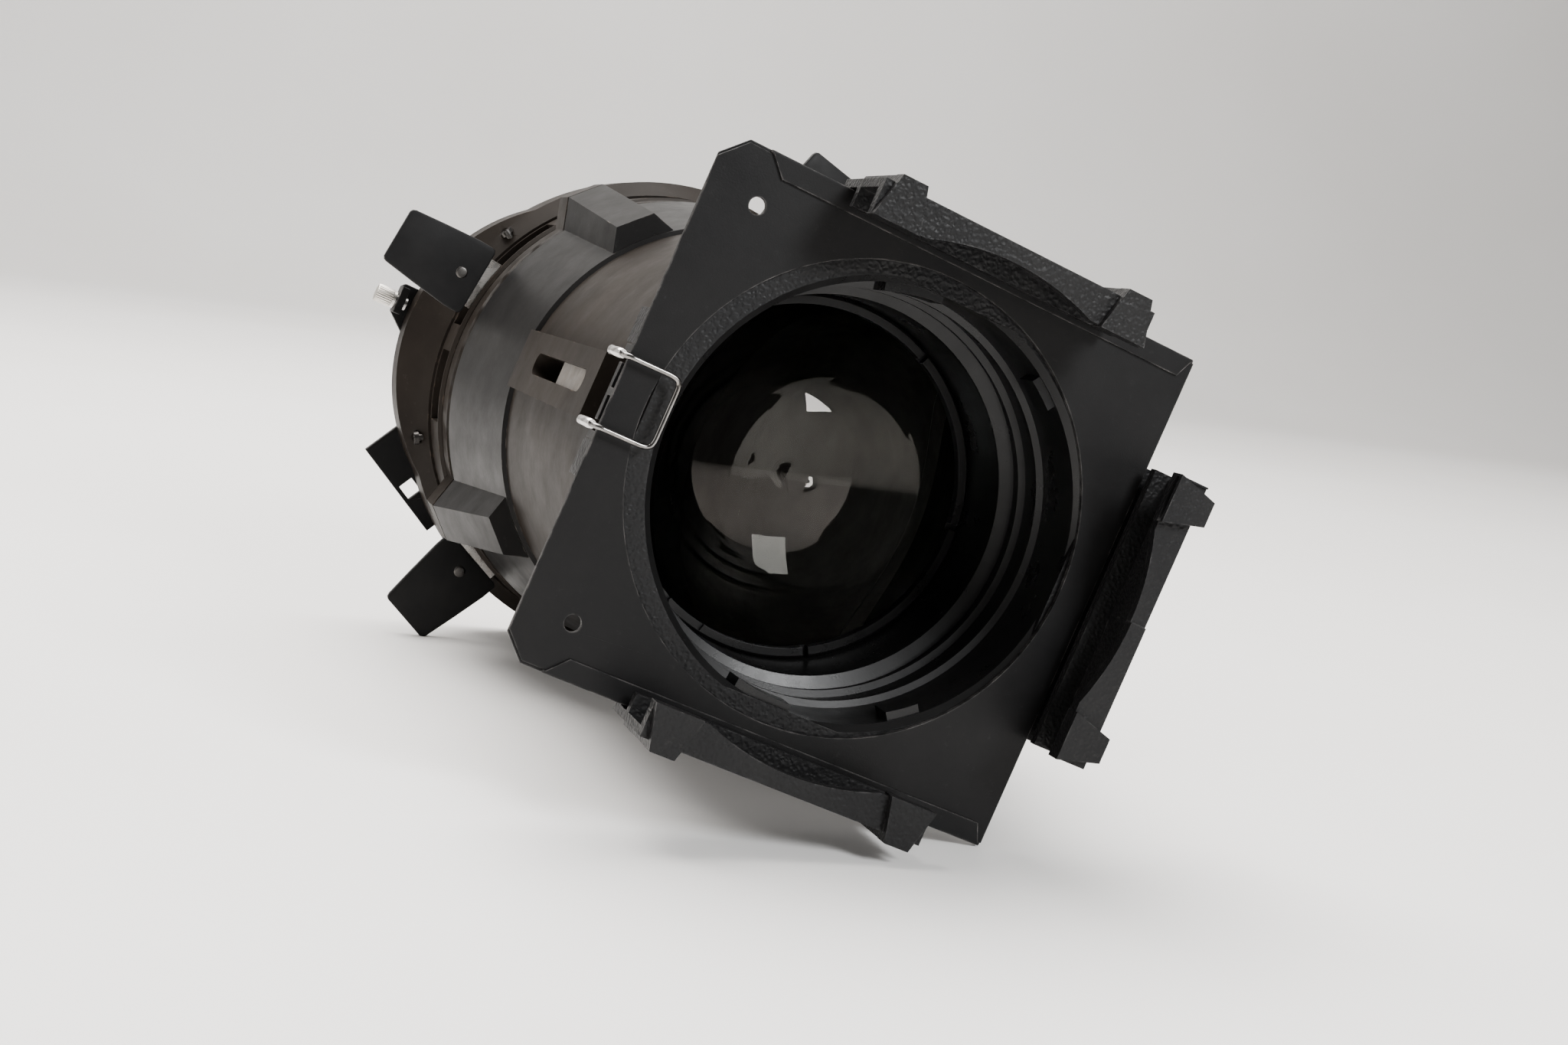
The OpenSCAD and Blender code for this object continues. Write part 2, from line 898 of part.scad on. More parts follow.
module lock_bracket() {
    color([0.1, 0.1, 0.1])
        difference() {
            union() {
                slab(house_end_y + 0.02, rear_y)
                    polygon([[-9.8, 95], [10, 95], [10, 109], [8.5, 110.5], [-2.5, 110.5], [-9.8, 102]]);
                box([-2.5, rear_y - 11, 107.5], [8.5, rear_y, 110.5]);
            }
            translate([lock_x, lock_y, 100])
                cylinder(r = 2.55, h = 20, $fn = 32);
        }
}

module lock_stud() {
    color([0.7, 0.7, 0.68])
        translate([lock_x, lock_y, 106.2])
            cylinder(r = 2.5, h = 7, $fn = 32);
}

module lock_knob() {
    color([0.8, 0.78, 0.74])
        translate([lock_x, lock_y, 110.85])
            difference() {
                cylinder(r = 3.7, h = 8.4, $fn = 48);
                translate([0, 0, -1])
                    cylinder(r = 2.52, h = 3.6, $fn = 32);
                for (a = [0 : 30 : 330])
                    rotate(a)
                        translate([3.8, 0, 1.5])
                            cylinder(r = 0.35, h = 20, $fn = 16);
            }
}

/* Shutters */

// plan of a blade that travels along +Z: a wide edge, a taper and a neck
module blade_plan(offset) {
    half = gate_r + 1;
    difference() {
        polygon([
            [-half, blade_edge], [half, blade_edge], [half, 33], [offset + 13, 46],
            [offset + neck_half, 54], [offset + neck_half, rivet_r + 6],
            [offset - neck_half, rivet_r + 6], [offset - neck_half, 54], [offset - 13, 46], [-half, 33]
        ]);
        translate([offset, rivet_r])
            circle(r = 1.55, $fn = 32);
    }
}

// plan of a handle: wide at its foot, narrower at its tip, with clipped corners
module handle_plan(offset) {
    tip = handle_tip;
    difference() {
        polygon([
            [offset - 12.6, handle_foot], [offset + 12.6, handle_foot], [offset + 14.4, handle_foot + 2],
            [offset + 14.3, rivet_r], [offset + 11.4, tip - 1.8], [offset + 9.8, tip],
            [offset - 9.8, tip], [offset - 11.4, tip - 1.8], [offset - 14.3, rivet_r],
            [offset - 14.4, handle_foot + 2]
        ]);
        translate([offset, rivet_r])
            circle(r = 1.55, $fn = 32);
    }
}

function blade_y(s) = first_blade_y + s[2] * blade_pitch;

module shutter_blade(s) {
    color([0.6, 0.6, 0.6])
        at_angle(s[0])
            slab(blade_y(s) - blade_t / 2, blade_y(s) + blade_t / 2)
                blade_plan(s[1]);
}

module shutter_handle(s) {
    color([0.1, 0.1, 0.1])
        at_angle(s[0])
            difference() {
                slab(blade_y(s) - handle_t / 2, blade_y(s) + handle_t / 2)
                    handle_plan(s[1]);
                box([s[1] - neck_half - 0.05, blade_y(s) - blade_t / 2 - 0.02, handle_foot - 1],
                    [s[1] + neck_half + 0.05, blade_y(s) + blade_t / 2 + 0.02, rivet_r + 6.1]);
            }
}

module shutter_rivet(s) {
    color([0.8, 0.8, 0.8])
        at_angle(s[0])
            translate([s[1], blade_y(s), rivet_r])
                for (m = [0, 1])
                    mirror([0, m, 0])
                        rotate([90, 0, 0])
                            rotate_extrude($fn = 32)
                                polygon([[0, 0], [1.5, 0], [1.5, handle_t / 2], [2.3, handle_t / 2],
                                    [2.1, handle_t / 2 + 0.2], [0, handle_t / 2 + 0.25]]);
}

module blade_top() { shutter_blade(top_shutter); }
module handle_top() { shutter_handle(top_shutter); }
module rivet_top() { shutter_rivet(top_shutter); }
module blade_left() { shutter_blade(left_shutter); }
module handle_left() { shutter_handle(left_shutter); }
module rivet_left() { shutter_rivet(left_shutter); }
module blade_bottom() { shutter_blade(bottom_shutter); }
module handle_bottom() { shutter_handle(bottom_shutter); }
module rivet_bottom() { shutter_rivet(bottom_shutter); }
module blade_right() { shutter_blade(right_shutter); }
module handle_right() { shutter_handle(right_shutter); }
module rivet_right() { shutter_rivet(right_shutter); }

rest() lens_tube_left();
rest() lens_tube_right();
rest() tube_screws();
rest() lens();
rest() lens_retainer();
rest() lens_gasket();
rest() clip_bracket();
rest() clip_pin();
rest() retaining_clip();
rest() clip_sleeves();
rest() frame_front_leaf();
rest() frame_back_leaf();
rest() focus_nut();
rest() focus_stud();
rest() focus_washer();
rest() focus_knob();
rest() barrel_upper();
rest() barrel_lower();
rest() barrel_bolts();
rest() guide_key();
rest() gate_front_ring();
rest() gate_housing();
rest() front_guide_plate();
rest() blade_spacers();
rest() gate_plate();
rest() slot_screws();
rest() rear_plate();
rest() rear_screws();
rest() lock_bracket();
rest() lock_stud();
rest() lock_knob();
rest() blade_top();
rest() handle_top();
rest() rivet_top();
rest() blade_left();
rest() handle_left();
rest() rivet_left();
rest() blade_bottom();
rest() handle_bottom();
rest() rivet_bottom();
rest() blade_right();
rest() handle_right();
rest() rivet_right();
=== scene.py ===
"""Looks for a profile spotlight front end: lens tube, colour frame, barrel and shutter gate.

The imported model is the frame. Detail pieces are drawn in the fixture's own axes, in
millimetres: Y runs back along the lens axis, +Z is the open side of the accessory holder.
REST turns and moves them to where the object lies.
"""

import json
import math

import bpy
from mathutils import Matrix, Vector


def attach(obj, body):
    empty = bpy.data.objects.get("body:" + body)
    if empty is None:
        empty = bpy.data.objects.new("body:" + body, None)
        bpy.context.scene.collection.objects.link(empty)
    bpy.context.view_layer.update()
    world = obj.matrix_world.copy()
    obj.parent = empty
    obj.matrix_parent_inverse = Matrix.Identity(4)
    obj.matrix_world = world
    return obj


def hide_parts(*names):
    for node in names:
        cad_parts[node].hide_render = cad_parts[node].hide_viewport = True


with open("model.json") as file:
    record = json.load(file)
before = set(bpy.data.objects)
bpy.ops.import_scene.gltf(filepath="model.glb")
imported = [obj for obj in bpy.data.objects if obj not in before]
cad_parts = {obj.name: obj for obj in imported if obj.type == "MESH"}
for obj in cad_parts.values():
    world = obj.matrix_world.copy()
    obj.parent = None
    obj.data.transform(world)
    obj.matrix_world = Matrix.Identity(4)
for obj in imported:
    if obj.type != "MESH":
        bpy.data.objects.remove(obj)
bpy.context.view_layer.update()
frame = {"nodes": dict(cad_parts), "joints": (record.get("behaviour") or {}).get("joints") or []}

MM = 0.001
NODES = frame["nodes"]
JOINTS = {joint["name"]: joint for joint in frame["joints"]}

# the clip's pin, in the fixture's axes, fixes where the fixture lies
PIN_Y, PIN_Z = 9.5, 79.0

# angle from +Z towards -X, sideways offset and plane of each shutter
SHUTTERS = {"top": (-6.8, 10.3, 259.3), "left": (63.2, 3.8, 272.5),
            "bottom": (175, 0, 263.7), "right": (258, 0, 268.1)}


def rest_matrix():
    """Fixture axes in millimetres to the row frame in metres, from the joints' axes."""
    x = Vector(JOINTS["clip_swing"]["axis"]).normalized()
    z = Vector(JOINTS["colour_frame_slide"]["axis"]).normalized()
    y = z.cross(x).normalized()
    turn = Matrix((x, y, z)).transposed()
    place = Vector(JOINTS["clip_swing"]["pos_m"]) - turn @ Vector((0, PIN_Y * MM, PIN_Z * MM))
    return Matrix.Translation(place) @ turn.to_4x4() @ Matrix.Scale(MM, 4)


REST = rest_matrix()


# ---------------------------------------------------------------- materials


def new_material(name):
    """An empty node material with a Principled shader, and the two of them."""
    mat = bpy.data.materials.new(name)
    mat.use_nodes = True
    nodes = mat.node_tree.nodes
    shader = nodes["Principled BSDF"]
    return mat, nodes, mat.node_tree.links, shader


def coords(nodes, links, stretch=(1, 1, 1)):
    """Object coordinates, stretched along the row's axes."""
    tex = nodes.new("ShaderNodeTexCoord")
    mapping = nodes.new("ShaderNodeMapping")
    mapping.inputs["Scale"].default_value = stretch
    links.new(tex.outputs["Object"], mapping.inputs["Vector"])
    return mapping.outputs["Vector"]


def noise(nodes, links, vector, scale, detail=4.0, roughness=0.55, distortion=0.0):
    """Cloudy noise between 0 and 1."""
    tex = nodes.new("ShaderNodeTexNoise")
    tex.inputs["Scale"].default_value = scale
    tex.inputs["Detail"].default_value = detail
    tex.inputs["Roughness"].default_value = roughness
    tex.inputs["Distortion"].default_value = distortion
    links.new(vector, tex.inputs["Vector"])
    return tex.outputs["Fac"]


def ramp(nodes, links, fac, stops):
    """A colour ramp with the given (position, colour) stops."""
    node = nodes.new("ShaderNodeValToRGB")
    elements = node.color_ramp.elements
    while len(elements) < len(stops):
        elements.new(0.5)
    for element, (pos, colour) in zip(elements, stops):
        element.position = pos
        element.color = (*colour, 1)
    links.new(fac, node.inputs["Fac"])
    return node.outputs["Color"]


def spread(nodes, links, fac, low, high, start=0.3, end=0.7):
    """A number that runs from low to high as fac runs from start to end."""
    node = nodes.new("ShaderNodeMapRange")
    node.inputs["From Min"].default_value = start
    node.inputs["From Max"].default_value = end
    node.inputs["To Min"].default_value = low
    node.inputs["To Max"].default_value = high
    links.new(fac, node.inputs["Value"])
    return node.outputs["Result"]


def mix(nodes, links, fac, a, b):
    """A colour between a and b; each is a colour or a socket."""
    node = nodes.new("ShaderNodeMix")
    node.data_type = "RGBA"
    links.new(fac, node.inputs["Factor"])
    for socket, value in ((node.inputs[6], a), (node.inputs[7], b)):
        if isinstance(value, tuple):
            socket.default_value = (*value, 1)
        else:
            links.new(value, socket)
    return node.outputs[2]


def bump(nodes, links, shader, height, strength, distance, under=None):
    """Roughens a shader's normal by a height, over another bump if one is given."""
    node = nodes.new("ShaderNodeBump")
    node.inputs["Strength"].default_value = strength
    node.inputs["Distance"].default_value = distance
    links.new(height, node.inputs["Height"])
    if under is not None:
        links.new(under, node.inputs["Normal"])
    links.new(node.outputs["Normal"], shader.inputs["Normal"])
    return node.outputs["Normal"]


def edge_wear_and_highlight_mask(nodes, links, vector, radius, scale, start, end):
    """1 on edges and 0 elsewhere: edges found by a rounding of the normal, broken up by noise; the edges
    stand for wear, and on the sheet also for a painted highlight.
    """
    bevel = nodes.new("ShaderNodeBevel")
    bevel.samples = 4
    bevel.inputs["Radius"].default_value = radius
    geometry = nodes.new("ShaderNodeNewGeometry")
    dot = nodes.new("ShaderNodeVectorMath")
    dot.operation = "DOT_PRODUCT"
    links.new(bevel.outputs["Normal"], dot.inputs[0])
    links.new(geometry.outputs["Normal"], dot.inputs[1])
    edge = spread(nodes, links, dot.outputs["Value"], 1.0, 0.0, 0.80, 0.985)
    patch = spread(nodes, links, noise(nodes, links, vector, scale, 6, 0.65), 0.0, 1.0, start, end)
    both = nodes.new("ShaderNodeMath")
    both.operation = "MULTIPLY"
    links.new(edge, both.inputs[0])
    links.new(patch, both.inputs[1])
    return both.outputs[0]


def painted(name, dark, light, rough, grain, strength, edge_wear_and_highlight_colour=None, specular=0.5, distance=0.0003,
            patch_scale=22, edge_wear_and_highlight_range=(0.52, 0.7)):
    """Paint on metal: uneven tone, uneven gloss, a grain, dust and edges turned another colour, for wear
    and, on the sheet, also a painted highlight.
    """
    mat, nodes, links, shader = new_material(name)
    vector = coords(nodes, links)
    tone = noise(nodes, links, vector, patch_scale, 5, 0.6)
    colour = ramp(nodes, links, tone, [(0.3, dark), (0.72, light)])
    fine = noise(nodes, links, vector, grain, 3, 0.5, 0.35)
    dust = spread(nodes, links, noise(nodes, links, vector, 310, 8, 0.75), 0.0, 0.32, 0.60, 0.80)
    colour = mix(nodes, links, dust, colour, tuple(3.0 * c + 0.02 for c in light))
    gloss = spread(nodes, links, noise(nodes, links, vector, 60, 6, 0.65), rough - 0.06, rough + 0.08)
    if edge_wear_and_highlight_colour is not None:
        # edges turned another colour: wear, and on the sheet also a painted highlight
        edge = edge_wear_and_highlight_mask(nodes, links, vector, 0.0006, 130, *edge_wear_and_highlight_range)
        colour = mix(nodes, links, edge, colour, edge_wear_and_highlight_colour)
    links.new(colour, shader.inputs["Base Color"])
    links.new(gloss, shader.inputs["Roughness"])
    shader.inputs["Specular IOR Level"].default_value = specular
    bump(nodes, links, shader, fine, strength, distance)
    return mat


def wrinkle_paint():
    """Black wrinkle finish: rounded grains about a millimetre across over the casting."""
    mat, nodes, links, shader = new_material("black_wrinkle_paint")
    vector = coords(nodes, links)
    cells = nodes.new("ShaderNodeTexVoronoi")
    cells.feature = "SMOOTH_F1"
    cells.inputs["Scale"].default_value = 820
    cells.inputs["Smoothness"].default_value = 0.6
    warp = nodes.new("ShaderNodeVectorMath")
    warp.operation = "MULTIPLY_ADD"
    warp_noise = nodes.new("ShaderNodeTexNoise")
    warp_noise.inputs["Scale"].default_value = 420
    links.new(vector, warp_noise.inputs["Vector"])
    links.new(warp_noise.outputs["Color"], warp.inputs[0])
    warp.inputs[1].default_value = (0.0016, 0.0016, 0.0016)
    links.new(vector, warp.inputs[2])
    links.new(warp.outputs[0], cells.inputs["Vector"])
    tone = noise(nodes, links, vector, 26, 5, 0.6)
    colour = ramp(nodes, links, tone, [(0.3, (0.0045, 0.0045, 0.005)), (0.75, (0.010, 0.0098, 0.0098))])
    edge = edge_wear_and_highlight_mask(nodes, links, vector, 0.0007, 150, 0.5, 0.72)
    colour = mix(nodes, links, edge, colour, (0.085, 0.083, 0.082))
    dust = spread(nodes, links, noise(nodes, links, vector, 260, 8, 0.75), 0.0, 0.28, 0.61, 0.8)
    colour = mix(nodes, links, dust, colour, (0.07, 0.066, 0.062))
    links.new(colour, shader.inputs["Base Color"])
    gloss = spread(nodes, links, noise(nodes, links, vector, 70, 6, 0.65), 0.38, 0.54)
    links.new(gloss, shader.inputs["Roughness"])
    shader.inputs["Specular IOR Level"].default_value = 0.16
    broad = nodes.new("ShaderNodeBump")
    broad.inputs["Strength"].default_value = 0.25
    broad.inputs["Distance"].default_value = 0.0008
    links.new(noise(nodes, links, vector, 95, 3, 0.5), broad.inputs["Height"])
    bump(nodes, links, shader, cells.outputs["Distance"], 0.55, 0.00045, broad.outputs["Normal"])
    return mat


def metal(name, low, high, rough, stretch=(1, 1, 1), scale=200, strength=0.06, stain=None):
    """Bare metal with a directional or cloudy finish, and stains."""
    mat, nodes, links, shader = new_material(name)
    vector = coords(nodes, links, stretch)
    plain = coords(nodes, links)
    lines = noise(nodes, links, vector, scale, 4, 0.6)
    colour = ramp(nodes, links, lines, [(0.3, low), (0.7, high)])
    if stain is not None:
        spots = spread(nodes, links, noise(nodes, links, plain, 70, 7, 0.7), 0.0, 0.8, 0.5, 0.68)
        colour = mix(nodes, links, spots, colour, stain)
    links.new(colour, shader.inputs["Base Color"])
    gloss = spread(nodes, links, noise(nodes, links, plain, 120, 5, 0.6), rough - 0.07, rough + 0.1)
    links.new(gloss, shader.inputs["Roughness"])
    shader.inputs["Metallic"].default_value = 1.0
    bump(nodes, links, shader, lines, strength, 0.0002)
    return mat


# metres from the axis where a shutter blade stops being black, and where it is clean
BLACK_R, CLEAN_R = 0.068, 0.086
# how far the edge of the black wanders either way
RAGGED = 0.006


def heat_blackened(mat):
    """Blackens a metal near the lens axis, where the lamp's heat reaches it."""
    nodes, links = mat.node_tree.nodes, mat.node_tree.links
    shader = nodes["Principled BSDF"]
    vector = coords(nodes, links)
    away = nodes.new("ShaderNodeVectorMath")
    away.operation = "SUBTRACT"
    away.inputs[1].default_value = REST.translation
    links.new(vector, away.inputs[0])
    aside = nodes.new("ShaderNodeVectorMath")
    aside.operation = "CROSS_PRODUCT"
    aside.inputs[1].default_value = REST.col[1].xyz.normalized()
    links.new(away.outputs["Vector"], aside.inputs[0])
    radius = nodes.new("ShaderNodeVectorMath")
    radius.operation = "LENGTH"
    links.new(aside.outputs["Vector"], radius.inputs[0])
    ragged = nodes.new("ShaderNodeMath")
    ragged.operation = "ADD"
    links.new(radius.outputs["Value"], ragged.inputs[0])
    shift = spread(nodes, links, noise(nodes, links, vector, 60, 6, 0.65), -RAGGED, RAGGED)
    links.new(shift, ragged.inputs[1])
    clean = spread(nodes, links, ragged.outputs[0], 0.0, 1.0, BLACK_R, CLEAN_R)
    metal_colour = shader.inputs["Base Color"].links[0].from_socket
    soot = ramp(nodes, links, noise(nodes, links, vector, 90, 5, 0.6),
                [(0.3, (0.004, 0.0038, 0.0036)), (0.7, (0.010, 0.0092, 0.0086))])
    links.new(mix(nodes, links, clean, soot, metal_colour), shader.inputs["Base Color"])
    links.new(clean, shader.inputs["Metallic"])
    links.new(spread(nodes, links, clean, 0.05, 0.5, 0.0, 1.0), shader.inputs["Specular IOR Level"])
    return mat


def glass():
    """The lens: clear glass with a coating that dims its reflections, and a little haze."""
    mat, nodes, links, shader = new_material("lens_glass")
    vector = coords(nodes, links)
    shader.inputs["Transmission Weight"].default_value = 1.0
    shader.inputs["IOR"].default_value = 1.52
    shader.inputs["Base Color"].default_value = (0.93, 0.96, 0.95, 1)
    shader.inputs["Specular Tint"].default_value = (0.46, 0.43, 0.40, 1)
    haze = spread(nodes, links, noise(nodes, links, vector, 45, 8, 0.75), 0.0, 0.008, 0.45, 0.85)
    links.new(haze, shader.inputs["Roughness"])
    return mat


def plastic(name, dark, light, rough, grain=1500, strength=0.12):
    """Moulded plastic with a fine grain, handled smooth in patches."""
    mat, nodes, links, shader = new_material(name)
    vector = coords(nodes, links)
    tone = noise(nodes, links, vector, 55, 5, 0.6)
    colour = ramp(nodes, links, tone, [(0.3, dark), (0.72, light)])
    edge = edge_wear_and_highlight_mask(nodes, links, vector, 0.0008, 190, 0.48, 0.70)
    colour = mix(nodes, links, edge, colour, (0.045, 0.044, 0.042))
    shader.inputs["Specular IOR Level"].default_value = 0.14
    links.new(colour, shader.inputs["Base Color"])
    gloss = spread(nodes, links, noise(nodes, links, vector, 85, 6, 0.65), rough - 0.09, rough + 0.09)
    links.new(gloss, shader.inputs["Roughness"])
    bump(nodes, links, shader, noise(nodes, links, vector, grain, 3, 0.5), strength, 0.0002)
    return mat


def make_materials():
    """Every material of the object, by a short name."""
    steel_low, steel_high = (0.34, 0.335, 0.33), (0.56, 0.55, 0.54)
    return {
        "wrinkle": wrinkle_paint(),
        "inner": painted("black_inner_paint", (0.004, 0.004, 0.0042), (0.008, 0.0078, 0.0078), 0.30,
                         1400, 0.05, specular=0.22),
        # the sheet's pale edges are wear, and with the wider range also a painted highlight along the thin
        # leaf edges
        "sheet": painted("satin_black_sheet", (0.0035, 0.0035, 0.0038), (0.0065, 0.0063, 0.0063), 0.42,
                         1900, 0.10, edge_wear_and_highlight_colour=(0.16, 0.15, 0.145), specular=0.14, edge_wear_and_highlight_range=(0.42, 0.62)),
        # the casting's brown tint is a painted warm reflection of wood over a near-neutral dark grey paint
        "casting": painted("casting_paint_with_painted_warm_reflection", (0.011, 0.0088, 0.0072), (0.020, 0.0160, 0.0130),
                           0.48, 1300, 0.08, edge_wear_and_highlight_colour=(0.22, 0.17, 0.13), specular=0.05,
                           edge_wear_and_highlight_range=(0.55, 0.7)),
        # the flare's paint is the casting paint made darker and greyer: painted shade on the flare
        "flare": painted("casting_paint_with_painted_shade_on_flare", (0.008, 0.0077, 0.0077), (0.015, 0.0143, 0.0139),
                         0.40, 1300, 0.08, edge_wear_and_highlight_colour=(0.20, 0.18, 0.16), specular=0.06,
                         edge_wear_and_highlight_range=(0.55, 0.7)),
        "zinc": metal("zinc_plated_steel", steel_low, steel_high, 0.33, scale=330, stain=(0.25, 0.22, 0.19)),
        "gate": metal("heat_dulled_steel", (0.05, 0.046, 0.043), (0.09, 0.083, 0.078), 0.5, scale=120,
                      stain=(0.03, 0.026, 0.023)),
        "dark": metal("blackened_screw", (0.055, 0.052, 0.05), (0.10, 0.095, 0.09), 0.3, scale=330),
        "key": metal("dull_key", (0.15, 0.135, 0.12), (0.24, 0.215, 0.19), 0.42, scale=300),
        "blade": heat_blackened(metal("stainless_blade", (0.40, 0.385, 0.365), (0.58, 0.565, 0.54), 0.27,
                                      (1, 1, 12), 420, 0.05, (0.33, 0.27, 0.22))),
        "chrome": metal("plated_wire", (0.13, 0.125, 0.12), (0.24, 0.232, 0.225), 0.14, scale=260,
                        strength=0.02, stain=(0.26, 0.235, 0.21)),
        "bright": metal("polished_steel", (0.48, 0.46, 0.44), (0.66, 0.64, 0.62), 0.18, scale=260,
                        strength=0.02),
        "bare": metal("bare_aluminium", (0.56, 0.54, 0.50), (0.76, 0.73, 0.68), 0.34, scale=500,
                      strength=0.08, stain=(0.40, 0.36, 0.31)),
        "brass": metal("plain_brass", (0.46, 0.34, 0.16), (0.62, 0.48, 0.25), 0.32, scale=300),
        "plastic": plastic("matt_black_plastic", (0.005, 0.005, 0.0053), (0.010, 0.0097, 0.0097), 0.46),
        "rubber": plastic("gasket_rubber", (0.012, 0.012, 0.012), (0.022, 0.022, 0.022), 0.7, 900, 0.2),
        "glass": glass(),
    }


# ---------------------------------------------------------------- stage, light and camera


def stage_material():
    """Pale paper with the slightest unevenness."""
    mat, nodes, links, shader = new_material("pale_floor")
    vector = coords(nodes, links)
    tone = noise(nodes, links, vector, 1.6, 4, 0.5)
    colour = ramp(nodes, links, tone, [(0.3, (0.86, 0.845, 0.825)), (0.7, (0.90, 0.89, 0.875))])
    links.new(colour, shader.inputs["Base Color"])
    shader.inputs["Roughness"].default_value = 0.55
    return mat


def make_stage():
    """A floor that rises into a backdrop a long way behind the object."""
    width, near, far, bend, height = 9.0, -3.0, 3.2, 1.2, 4.0
    profile = [(near, 0.0), (far, 0.0)]
    steps = 12
    for i in range(1, steps + 1):
        a = math.pi / 2 * i / steps
        profile.append((far + bend * math.sin(a), bend * (1 - math.cos(a))))
    profile.append((far + bend, height))
    mesh = bpy.data.meshes.new("floor")
    points = [(sx * width / 2, y, z) for y, z in profile for sx in (-1, 1)]
    faces = [(2 * i, 2 * i + 1, 2 * i + 3, 2 * i + 2) for i in range(len(profile) - 1)]
    mesh.from_pydata(points, [], faces)
    mesh.shade_smooth()
    floor = bpy.data.objects.new("floor", mesh)
    bpy.context.collection.objects.link(floor)
    mesh.materials.append(stage_material())


def area_light(name, place, target, size, power, colour):
    """A rectangular lamp at a place, turned to its target."""
    data = bpy.data.lights.new(name, "AREA")
    data.shape = "RECTANGLE"
    data.size, data.size_y = size
    data.energy = power
    data.color = colour
    light = bpy.data.objects.new(name, data)
    light.location = place
    light.rotation_euler = (Vector(target) - Vector(place)).to_track_quat("-Z", "Y").to_euler()
    bpy.context.collection.objects.link(light)


# the room's brightness in front of the object and behind it, and where it changes
ROOM_FRONT, ROOM_BACK = 0.22, 1.15
ROOM_FROM_Y, ROOM_TO_Y = -0.35, 0.45
ROOM_COLOUR = (1.0, 0.975, 0.95, 1)

MIDDLE = (0.0, 0.0, 0.10)
WARM, COOL, PAPER = (1.0, 0.97, 0.94), (0.98, 0.99, 1.0), (1.0, 0.98, 0.96)

# name, place, target, size, power in watts, colour
LAMPS = [
    ("overhead", (-0.3, 0.6, 1.9), MIDDLE, (1.8, 1.4), 125, WARM),
    ("window", (0.67, -1.60, 1.04), (0.0, -0.08, 0.1), (0.48, 0.62), 42, COOL),
    ("side", (-1.6, -0.3, 0.9), MIDDLE, (0.9, 1.2), 6, WARM),
    ("backdrop", (0.3, 1.5, 2.4), (0.6, 4.4, 1.2), (3.0, 1.0), 110, PAPER),
]


def make_light():
    """A room that is dim in front and bright behind, and the lamps."""
    world = bpy.data.worlds.new("studio")
    world.use_nodes = True
    nodes, links = world.node_tree.nodes, world.node_tree.links
    background = nodes["Background"]
    background.inputs["Color"].default_value = ROOM_COLOUR
    direction = nodes.new("ShaderNodeTexCoord")
    parts = nodes.new("ShaderNodeSeparateXYZ")
    links.new(direction.outputs["Generated"], parts.inputs["Vector"])
    strength = spread(nodes, links, parts.outputs["Y"], ROOM_FRONT, ROOM_BACK, ROOM_FROM_Y, ROOM_TO_Y)
    links.new(strength, background.inputs["Strength"])
    bpy.context.scene.world = world
    for lamp in LAMPS:
        area_light(*lamp)


def make_camera():
    """A 50 mm lens at the distance and angle that the object is seen from."""
    data = bpy.data.cameras.new("camera")
    data.sensor_width = 36.0
    data.lens = 49.99
    data.clip_start, data.clip_end = 0.02, 40.0
    camera = bpy.data.objects.new("camera", data)
    camera.location = (-0.21678, -0.72624, 0.15797)
    camera.rotation_euler = [math.radians(a) for a in (83.751, -7.756, -16.913)]
    bpy.context.collection.objects.link(camera)
    bpy.context.scene.camera = camera


# ---------------------------------------------------------------- CAD nodes' finish

# the material of each CAD node
FINISH = {
    "lens_tube_left": "wrinkle", "lens_tube_right": "wrinkle", "tube_screws": "zinc",
    "lens": "glass", "lens_retainer": "inner", "lens_gasket": "rubber",
    "clip_bracket": "sheet", "clip_pin": "zinc", "retaining_clip": "chrome",
    "clip_sleeves": "chrome", "frame_front_leaf": "sheet", "frame_back_leaf": "sheet",
    "focus_nut": "brass", "focus_stud": "zinc", "focus_washer": "zinc", "focus_knob": "plastic",
    "barrel_upper": "casting", "barrel_lower": "casting", "barrel_bolts": "zinc",
    "guide_key": "key", "gate_front_ring": "casting", "gate_housing": "casting",
    "front_guide_plate": "gate", "blade_spacers": "gate", "gate_plate": "gate",
    "slot_screws": "dark", "rear_plate": "sheet", "rear_screws": "zinc",
    "lock_bracket": "sheet", "lock_stud": "zinc", "lock_knob": "bare",
}
for side in SHUTTERS:
    FINISH["blade_" + side] = "blade"
    FINISH["handle_" + side] = "plastic"
    FINISH["rivet_" + side] = "dark"

# nodes whose edges are softened, and by how many millimetres
SOFT_EDGES = {
    "lens_tube_left": 0.5, "lens_tube_right": 0.5, "barrel_upper": 0.8, "barrel_lower": 0.8,
    "gate_front_ring": 0.6, "gate_housing": 0.7, "rear_plate": 0.25, "focus_knob": 0.6,
    "lens_retainer": 0.2, "guide_key": 0.3, "lock_bracket": 0.25, "clip_bracket": 0.2,
    "frame_front_leaf": 0.15, "frame_back_leaf": 0.15, "barrel_bolts": 0.2, "focus_washer": 0.2,
}

# faces that meet at more than these angles are creased, and bevelled
CREASE_DEG = 13
BEVEL_DEG = 24

# vertices closer than this, in metres, are one vertex
WELD_GAP = 0.00001


